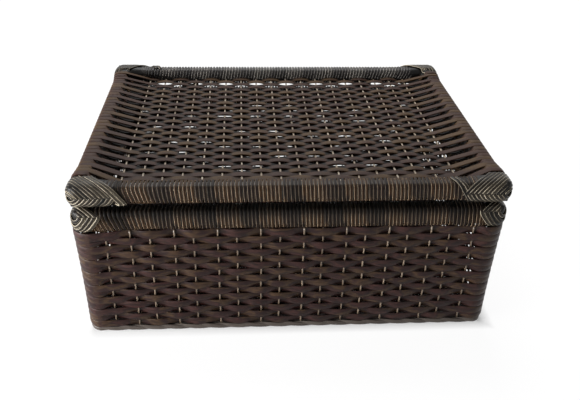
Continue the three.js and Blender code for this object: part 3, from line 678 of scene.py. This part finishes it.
def wind(rails, side, lean, lifts, material):
    """Cane wound round one rail. lean gives its slant, and lifts its lift near both corners."""
    bars = Bars()
    ahead, out = side_ways(side)
    half_long, near = rails.half if side % 2 == 0 else rails.half[::-1]
    points, ways, share = rail_round(rails, CANE_OUT)
    turns = round(2 * (half_long - LEG_UNDER) / CANE_TURN)
    pitch = 2 * (half_long - LEG_UNDER) / turns
    turn = np.arange(turns)
    place = (turn[:, None] + share[None]) * pitch - half_long + LEG_UNDER
    place += np.interp(turn[:, None] + share[None], turn, rng.normal(0, CANE_WANDER, turns))
    slant = np.interp(half_long + place, *lean)
    place = place - slant * (points[:, 1] - points[:, 1].min())
    lifted = points + np.interp(half_long - np.abs(place), LIFT_PLACES, lifts)[..., None] * ways
    path = rails.middle + ahead * place[..., None] + out * (near + lifted[..., :1])
    path[..., 2] = rails.mid + lifted[..., 1]
    facing = np.broadcast_to(out * ways[:, :1] + UP * ways[:, 1:], path.shape)
    pale = turn % (PALE_TURNS + DARK_TURNS) < PALE_TURNS
    tint = np.where(pale, PALE_TINT, DARK_TINT) + rng.uniform(-TINT_SPREAD, TINT_SPREAD, turns)
    wide = rng.uniform(*CANE_WIDTHS, turns)
    bars.add(path.reshape(-1, 3), facing.reshape(-1, 3), crowned(CANE, CANE_THICK, CANE_CROWN),
             tint=np.repeat(tint, len(share)), wide=np.repeat(wide, len(share)),
             painted_lightness=np.tile(seam_shade(rails, points), turns))
    cane, binding = (f"{rails.prefix}_{part}_{SIDES[side]}" for part in ("cane", "binding"))
    bars.make(cane, material, rails.body, "binding", binding)


for side in range(4):
    wind(rim, side, RIM_LEAN, RIM_LIFTS, BINDING_CANE)
for side, material in ((0, BINDING_CANE), (2, BACK_RAIL_LIT_CANE)):
    wind(lid, side, LID_LEAN, LID_LIFTS, material)


# Rails: the fishbone corners

LID_TIPS = 4.0 + FISHBONE_PITCH * np.arange(10)  # from the corner to where the strips meet on both faces
LID_LOWERS = LID_TIPS[:-1] + FISHBONE_PITCH / 2
LID_OVERS = (51.2, 56.1)
LID_SLOPE, LID_APEX = 0.76, 0.5
RIM_TIPS = 8.6 + FISHBONE_PITCH * np.arange(4)
RIM_LOWERS = RIM_TIPS[0] + FISHBONE_PITCH * (np.arange(5) - 0.5)
RIM_SLOPE, RIM_APEX = 0.73, 0.84
FISHBONE_POINTS = 44
FISHBONE_WIDTHS = (0.94, 1.04)
FISHBONE_LIFT = ((26, 52, 60), (3.0, 0.9, 0.45))  # out of the bound faces, by the reach from the corner
WRAPPED_FROM = ((19, 24.5), (3.0, -1.5))  # and at most this on the lid, by the distance along its side rails
PAST = 0.1  # how far past its half turn a strip runs, and an over
OVER_PAST = 0.25
DIVE = 1.0  # how deep they dive there
OVER_DIVE = 0.2
DIVE_FROM = 0.06
OVER_LIFT = 0.35
OVER_FOOT = 2.0
CROSSING_LIFT = 1.0
CROSSING_LEAN = 0.62  # mm along the rail for each mm up
TOP_LEAN = 0.4  # and for each mm inwards on the rail's top
CROSSING_FEET = (41.2, 36.4)
CORE_STATIONS = (52, 44, 36, 26, 20, 14, 9, 5, 2, 0)
CORE_PLACES = {"lid": (26, 52), "rim": (12, 24)}  # where the core changes from the first to the second lift
CORE_WRAPPED = (18, 27)  # and along the side rails that the lid's strips wrap
CORE_LIFTS = (1.9, -1.2)
CORE_BEND = 26  # how far from the corner its rings turn towards the mitre
CORE_GRAIN = 5.0
CORNER_EDGE = ((30, 50), (8.5, RAIL_EDGE))  # rounding of the corners' long edges, at these reaches
TRACE_REACH = 120.0
TRACE_HALVINGS = 30


def past_round(away):
    """How far outside a round's centre points are, by their distances from it along two axes."""
    return np.linalg.norm(np.maximum(away, 0), axis=-1) + np.minimum(away.max(-1), 0)


class Corner:
    """The rounded outer corner of a frame of bound rails. a and b run from the corner along the
    front or back rail and along the side rail, and a lift stands out of the bound faces."""

    def __init__(self, rails, x, y):
        self.rails, self.x, self.y = rails, x, y

    def place(self, points):
        """From a, b and z to the box's own x, y and z."""
        a, b, z = points[..., 0], points[..., 1], points[..., 2]
        half = self.rails.half
        return np.stack([self.x * (half[0] - a), self.y * (half[1] - b) + self.rails.middle[1], z], -1)

    def depth(self, points):
        """How far points lie outside the bound rails' outer faces, rounded, without the inner ones."""
        plan = past_round(CORNER_ROUND - points[..., :2]) - CORNER_ROUND
        level = np.abs(points[..., 2] - self.rails.mid) - self.rails.tall / 2
        edge = np.interp(points[..., :2].max(-1), *CORNER_EDGE)
        return past_round(np.stack([plan, level], -1) + edge[..., None]) - edge

    def facing(self, points):
        """The way out of the rounded faces at these points."""
        step = 0.05
        ways = [self.depth(points + step * axis) - self.depth(points - step * axis) for axis in np.eye(3)]
        return unit(np.stack(ways, -1))

    def trace(self, start, first, second, turns, lift):
        """Where rays from start, turning from the first way to the second one, leave the lifted corner."""
        ways = np.cos(turns)[:, None] * first + np.sin(turns)[:, None] * second
        near, far = np.zeros(len(turns)), np.full(len(turns), TRACE_REACH)
        for _ in range(TRACE_HALVINGS):
            middle = (near + far) / 2
            points = start + middle[:, None] * ways
            inside = self.depth(points) < lift(points)
            near, far = np.where(inside, middle, near), np.where(inside, far, middle)
        return start + near[:, None] * ways


def fishbone_lift(rails, points):
    """How far the fishbone stands out of the bound faces at these places."""
    lift = np.interp(points[:, :2].max(1), *FISHBONE_LIFT)
    return np.minimum(lift, np.interp(points[:, 1], *WRAPPED_FROM)) if rails is lid else lift


def fishbone(corner, slope, apex_share, uppers, lowers, overs, name):
    """Strips of cane that meet in a row of points on both outer faces: uppers come over the top, lowers
    from below, and overs run over the top and down both faces."""
    bars = Bars()
    rails = corner.rails
    section = crowned(FISHBONE, CANE_THICK, CANE_CROWN)
    apex = rails.bottom + apex_share * rails.tall
    mirror = np.array([-corner.x, -corner.y, 1.0])
    for tips, direction in ((uppers, 1), (lowers, -1), (overs, 0)):
        past, dive, extra = (PAST, DIVE, 0) if direction else (OVER_PAST, OVER_DIVE, OVER_LIFT)
        turns = np.linspace(-past, math.pi + past, FISHBONE_POINTS)
        from_end = math.pi / 2 - np.abs(turns - math.pi / 2)
        sunk = dive * np.clip((DIVE_FROM - from_end) / (past + DIVE_FROM), 0, 1)

        def lift(points):
            return fishbone_lift(rails, points) + extra - sunk

        for tip in tips:
            start = np.array([tip / 2, tip / 2, apex if direction else rails.bottom + OVER_FOOT])
            first = np.array([1, -1, 0]) / math.sqrt(2)
            second = unit(np.array([-slope / 2, -slope / 2, direction or 1]))
            path = corner.trace(start, first, second, turns, lift)
            tint = rng.uniform() if direction else 1.0
            bars.add(corner.place(path), corner.facing(path) * mirror, section, tint=tint,
                     wide=rng.uniform(*FISHBONE_WIDTHS))
    if rails is lid and not len(overs):
        for foot in CROSSING_FEET:
            crossing(bars, corner, foot, section)
    core(bars, corner)
    bars.make(name, FISHBONE_CANE, rails.body, "fishbone", name.replace("fishbone", "corner"))


def crossing(bars, corner, foot, section):
    """A strip that crosses the front or back rail's outer face and top beside the fishbone, away from the
    corner on its way up. foot is how far from the corner it starts."""
    rails = corner.rails
    points, ways, _ = rail_round(rails, -CROSSING_LIFT)
    points, ways = points[UP_AND_OVER], ways[UP_AND_OVER]
    inward = np.where(points[:, 1] > 0, np.maximum(-points[:, 0], 0), 0)
    away = foot + CROSSING_LEAN * (points[:, 1] - points[:, 1].min()) + TOP_LEAN * inward
    path = corner.place(np.column_stack([away, -points[:, 0], rails.mid + points[:, 1]]))
    way = np.column_stack([np.zeros(len(ways)), corner.y * ways[:, 0], ways[:, 1]])
    bars.add(path, way, section, tint=rng.uniform())


def core(bars, corner):
    """The inner turns that the fishbone lies on, as one bar round the corner, painted near black as the
    shade in the gaps between its strips.
    """
    rails = corner.rails
    rings = []
    for on_side_rail in (False, True):
        places = CORE_WRAPPED if on_side_rail and rails is lid else CORE_PLACES[rails.prefix]
        for station in CORE_STATIONS[-2::-1] if on_side_rail else CORE_STATIONS:
            lift = np.interp(station, places, CORE_LIFTS)
            points, _, _ = rail_round(rails, -lift)
            inward = -points[:, 0]
            away = station + inward * max(1 - station / CORE_BEND, 0)
            ring = np.column_stack([inward, away] if on_side_rail else [away, inward])
            from_centre = CORNER_ROUND - ring
            distance = np.linalg.norm(np.maximum(from_centre, 0), axis=1)
            outside = (from_centre.min(1) > 0) & (distance > CORNER_ROUND + lift)
            scale = np.ones(len(ring))
            scale[outside] = (CORNER_ROUND + lift) / distance[outside]
            ring = CORNER_ROUND - from_centre * scale[:, None]
            rings.append(np.column_stack([ring, rails.mid + points[:, 1]]))
    rings = corner.place(np.array(rings))
    if corner.x * corner.y > 0:
        rings = rings[:, ::-1]
    # tint 0 gives the fishbone's near-black tone: painted shade
    bars.skin(rings, False, np.arange(len(rings)) * CORE_GRAIN, np.zeros(rings.shape[1]), 0.0)


for name, x, y in CORNERS:
    overs = LID_OVERS if x * y > 0 else ()
    fishbone(Corner(lid, x, y), LID_SLOPE, LID_APEX, LID_TIPS, LID_LOWERS, overs, f"lid_fishbone_{name}")
    fishbone(Corner(rim, x, y), RIM_SLOPE, RIM_APEX, RIM_TIPS, RIM_LOWERS, (), f"rim_fishbone_{name}")


# Lid: strips and stakes

LID_ROWS = 36
PANEL_STAKES = 18
PANEL_SINK = 9  # how far the panel lies below the rails' top
PANEL_SAG = 4  # and how much further down its middle
FIRST_AT_RAIL = 30.5  # from a corner to the first strip that wraps a side rail
CROWD = 50  # from the first strip, how far the others are pushed together there
LID_SWING = 1.6  # how far its strips swing to either side of the stakes' axis
LID_SWING_SPREAD = 0.12
LID_STRIP_WIDE = 0.9  # a strip's width between stakes, as a share of its row
LID_STRIP_SWELL = 0.08  # how much of the row wider it is at a stake
WRAP_SWELL = 0.25  # share of that swell round the side rails
RAIL_WIDE = 0.08  # and how much wider it is there again
LID_DRIFT = 0.15  # how far a strip wanders to either side
LID_DRIFT_RUN = 31
LID_TINTS = (0.1, 0.9)
LID_STAKE_R = 1.0
LID_STAKE_POINTS = 25
WRAP_LIFT = ((30, 52), (2.2, 0.0))  # how far the strips lie over the rail, by their distance from a corner
DIVE_BULGE = 0.15  # how far a strip that dives under the first stake bulges down on its way
DIVE_SHADE_RUN = 0.35  # share of its run over which a diving strip goes into full painted shade
FRONT_ROWS = 4  # the front rows are woven so tight that their dips show
TIGHT_WIDE = 1.04
TIGHT_SWING = 0.55
# the least painted light in their dips, so that the painted shade there is lighter
TIGHT_SHADE = 0.45
lid_row = 2 * (lid.half[1] - lid.deep) / LID_ROWS
panel_half = (panel_high - panel_low)[:2] / 2
panel_stakes = (np.arange(PANEL_STAKES) - (PANEL_STAKES - 1) / 2) * PANEL_STAKE_PITCH


def panel_level(x, y):
    """The level of the dished panel's upper face, between its first and its last stake."""
    inside = 1 - np.minimum(np.abs(x) / panel_stakes[-1], 1) ** 2
    along = 1 - np.minimum(np.abs(y - lid.middle[1]) / panel_half[1], 1) ** 2
    return lid.top - PANEL_SINK - PANEL_SAG * inside * along


def flap(start, end, over):
    """A strip's run from the side rail to the first stake, without its ends: straight where it lands on
    the stake, and steep at the rail where it dives under."""
    share = np.arange(1, STEPS) / STEPS
    fall = share if over else (1 + DIVE_BULGE) * (1 - (1 - share) ** 3) - DIVE_BULGE * share ** 2
    return np.column_stack([start[0] + (end[0] - start[0]) * share, start[1] + (end[1] - start[1]) * fall])


def flap_shade(turn, run, over):
    """A strip's painted light on its turn round the rail and on its run: full, but fading into painted shade
    where it dives.
    """
    shade = np.ones(turn + run)
    if not over:
        shade[turn:] = 1 - np.minimum(np.arange(run) / (DIVE_SHADE_RUN * run), 1)
    return shade


def lid_end(end, points, ways, target, over):
    """A strip's turn round a side rail and its run to the first stake, with the ways it faces and how
    near it is to a crest. end is -1 at the left rail and 1 at the right one."""
    turn = np.column_stack([end * (lid.half[0] + points[WRAP, 0]), lid.mid + points[WRAP, 1]])
    way = np.column_stack([end * ways[WRAP, 0], ways[WRAP, 1]])
    run = flap(turn[-1], target, over)
    facing = np.concatenate([way, np.tile(UP[1:], (len(run), 1))])
    return np.concatenate([turn, run]), facing, flap_shade(len(turn), len(run), over)


def lid_weave():
    """Flat strips that wrap the side rails and cross the panel over and under its stakes."""
    bars = Bars()
    section = LID_STRIP * (lid_row, 1)
    first = lid.deep + lid_row / 2
    flap_run = lid.half[0] - lid.deep - panel_stakes[-1]
    for row in range(LID_ROWS):
        y = lid.middle[1] - lid.half[1] + lid.deep + (row + 0.5) * lid_row
        inward = np.sign(lid.middle[1] - y)
        from_corner = lid.half[1] - abs(y - lid.middle[1])
        push = (FIRST_AT_RAIL - first) * max(1 - (from_corner - first) / CROWD, 0)
        points, ways, _ = rail_round(lid, STRIP_OUT - np.interp(from_corner + push, *WRAP_LIFT))
        over = np.where((np.arange(PANEL_STAKES) + row) % 2, 1.0, -1.0)
        tight = row < FRONT_ROWS
        swings = LID_SWING * (TIGHT_SWING if tight else 1) * over
        swings += rng.normal(0, LID_SWING_SPREAD, len(over))
        x, z = wave(panel_stakes, panel_level(panel_stakes, y) - STRIP_IN + swings, STEPS)
        # painted light: full where a strip lies over a stake, and painted shade where it dips under one
        _, shade = wave(panel_stakes, (over + 1) / 2, STEPS)
        across = np.column_stack([x, z])
        left, left_facing, left_shade = lid_end(-1, points, ways, across[0], over[0] > 0)
        right, right_facing, right_shade = lid_end(1, points, ways, across[-1], over[-1] > 0)
        route = np.concatenate([left, across, right[::-1]])
        facing = np.concatenate([left_facing, np.tile(UP[1:], (len(x), 1)), right_facing[::-1]])
        shade = np.concatenate([left_shade, shade, right_shade[::-1]])
        if tight:
            shade = np.maximum(shade, TIGHT_SHADE)
        swell = np.full(len(route), WRAP_SWELL)
        swell[len(left):len(left) + len(x)] = np.cos(np.arange(len(x)) / STEPS * math.pi) ** 2
        at_rail = np.clip((np.abs(route[:, 0]) - panel_stakes[-1]) / flap_run, 0, 1)
        drift = LID_DRIFT * np.sin(route[:, 0] / LID_DRIFT_RUN + rng.uniform(0, ANY_PHASE))
        drift += inward * push * at_rail
        wide = (TIGHT_WIDE if tight else LID_STRIP_WIDE) + LID_STRIP_SWELL * swell
        wide += at_rail * (RAIL_WIDE - push / CROWD)
        path = np.column_stack([route[:, 0], y + drift, route[:, 1]])
        out = np.column_stack([facing[:, 0], np.zeros(len(facing)), facing[:, 1]])
        bars.add(path, out, section, tint=rng.uniform(*LID_TINTS), wide=wide, painted_lightness=shade)
    bars.make("woven_lid", LID_CANE, "lid", "lid_strip",
              "lid_weave", "lid_binding_left", "lid_binding_right")


def lid_stakes():
    """The round stakes of the panel, from the front rail to the back one."""
    rods = Bars()
    for x in panel_stakes:
        ys = lid.middle[1] + np.linspace(-panel_half[1], panel_half[1], LID_STAKE_POINTS)
        path = np.column_stack([np.full(len(ys), x), ys, panel_level(x, ys) - STRIP_IN])
        rods.add(path, np.tile(UP, (len(ys), 1)), circle(LID_STAKE_R, STAKE_SIDES))
    rods.make("lid_rods", LID_STAKE_LIT, "lid", "stake", "lid_stakes")


lid_weave()
lid_stakes()


# What stays as the CAD has it


def dress(material, *starts):
    """Puts a material on the CAD nodes whose names start like this."""
    for name in frame["nodes"]:
        if name.startswith(starts):
            node = bpy.data.objects[name]
            node.data.materials.clear()
            node.data.materials.append(material)


dress(POLE_STAIN_AND_SHADE, "rim_rail", "lid_rail", "base_rod", "corner_post")
dress(HINGE_METAL, "hinge")


# Stage, light and camera, in metres and watts

FLOOR_SIZE = 6.0
FLOOR_TONE = 0.93
GLOW = 1.06
GLOW_SHARE = 0.88  # how much of the floor's look is glow, and the rest shows the shadow
GLOW_FROM = 0.012  # the glow starts so far inside the foot's outline
GLOW_RISE = 0.024  # and is full so much further out
SKY_LIGHT = 0.085
AIM_HIGH = 0.1


def shown_white(tree):
    """1 on the rays that see the white ground: the camera's, and those off or through glossy pieces."""
    path = tree.nodes.new("ShaderNodeLightPath")
    shown = path.outputs["Is Camera Ray"]
    for kind in ("Is Glossy Ray", "Is Transmission Ray"):
        either = tree.nodes.new("ShaderNodeMath")
        either.operation = "MAXIMUM"
        tree.links.new(shown, either.inputs[0])
        tree.links.new(path.outputs[kind], either.inputs[1])
        shown = either.outputs[0]
    return shown


def make_stage():
    """A pale floor that looks white, apart from the object's shadow, and stays plain under the foot."""
    bpy.ops.mesh.primitive_plane_add(size=FLOOR_SIZE, location=(0, 0, 0))
    floor = bpy.context.object
    floor.name = "floor"
    nodes = Nodes("floor")
    nodes.set(Base_Color=(FLOOR_TONE, FLOOR_TONE, FLOOR_TONE, 1), Roughness=0.9)
    place = nodes.add("ShaderNodeSeparateXYZ", {0: nodes.add("ShaderNodeTexCoord").outputs["Object"]})
    beside = [nodes.math("SUBTRACT", nodes.math("ABSOLUTE", place.outputs[axis]), half - GLOW_FROM)
              for axis, half in enumerate(foot_half * MM)]
    beside = nodes.math("MAXIMUM", *beside)
    outside = nodes.add("ShaderNodeMapRange", {"Value": beside, "From Max": GLOW_RISE})
    glow = nodes.add("ShaderNodeEmission", {"Color": (1, 1, 1, 1), "Strength": GLOW})
    share = nodes.math("MULTIPLY", nodes.math("MULTIPLY", shown_white(nodes.tree), GLOW_SHARE),
                       outside.outputs[0])
    mixed = nodes.add("ShaderNodeMixShader", {0: share, 1: nodes.shader.outputs[0], 2: glow.outputs[0]})
    nodes.tree.links.new(mixed.outputs[0], nodes.tree.nodes["Material Output"].inputs["Surface"])
    floor.data.materials.append(nodes.material)


def make_world():
    """White where it is seen, and otherwise a weak light from all around."""
    world = bpy.data.worlds.new("studio")
    bpy.context.scene.world = world
    world.use_nodes = True
    tree = world.node_tree
    background = tree.nodes["Background"]
    strength = tree.nodes.new("ShaderNodeMapRange")
    tree.links.new(shown_white(tree), strength.inputs["Value"])
    strength.inputs["To Min"].default_value = SKY_LIGHT
    strength.inputs["To Max"].default_value = 1.0
    background.inputs["Color"].default_value = (1, 1, 1, 1)
    tree.links.new(strength.outputs[0], background.inputs["Strength"])


def add_lamp(name, at, size, power):
    """A rectangular lamp that looks at the object's middle."""
    lamp = bpy.data.lights.new(name, "AREA")
    lamp.shape = "RECTANGLE"
    lamp.size, lamp.size_y = size
    lamp.energy = power
    holder = bpy.data.objects.new(name, lamp)
    holder.location = at
    aim = Vector((0, 0, AIM_HIGH)) - Vector(at)
    holder.rotation_euler = aim.to_track_quat("-Z", "Y").to_euler()
    bpy.context.scene.collection.objects.link(holder)


def make_camera():
    """The photograph's own camera, as fitted to the box's edges."""
    data = bpy.data.cameras.new("camera")
    data.sensor_width = SENSOR
    data.lens = FOCAL_PIXELS * SENSOR / IMAGE_WIDTH
    camera = bpy.data.objects.new("camera", data)
    yaw, pitch, roll = (math.radians(a) for a in (CAMERA_YAW, CAMERA_PITCH, CAMERA_ROLL))
    ahead = Vector((math.sin(yaw) * math.cos(pitch), math.cos(yaw) * math.cos(pitch), -math.sin(pitch)))
    right = Vector((math.cos(yaw), -math.sin(yaw), 0))
    up = right.cross(ahead)
    across = right * math.cos(roll) + up * math.sin(roll)
    upward = up * math.cos(roll) - right * math.sin(roll)
    turned = Matrix((across, upward, -ahead)).transposed().to_4x4()
    camera.matrix_world = Matrix.Translation(Vector(CAMERA_AT) * MM) @ turned
    bpy.context.scene.collection.objects.link(camera)
    bpy.context.scene.camera = camera


make_stage()
make_world()
add_lamp("key", at=(-0.2, 1.2, 1.9), size=(1.4, 1.4), power=43)
add_lamp("window", at=(-1.0, -0.5, 0.22), size=(0.8, 0.25), power=22)
add_lamp("fill", at=(1.9, 1.2, 0.6), size=(1.0, 1.0), power=4)
make_camera()
bpy.context.scene.view_settings.view_transform = "Standard"
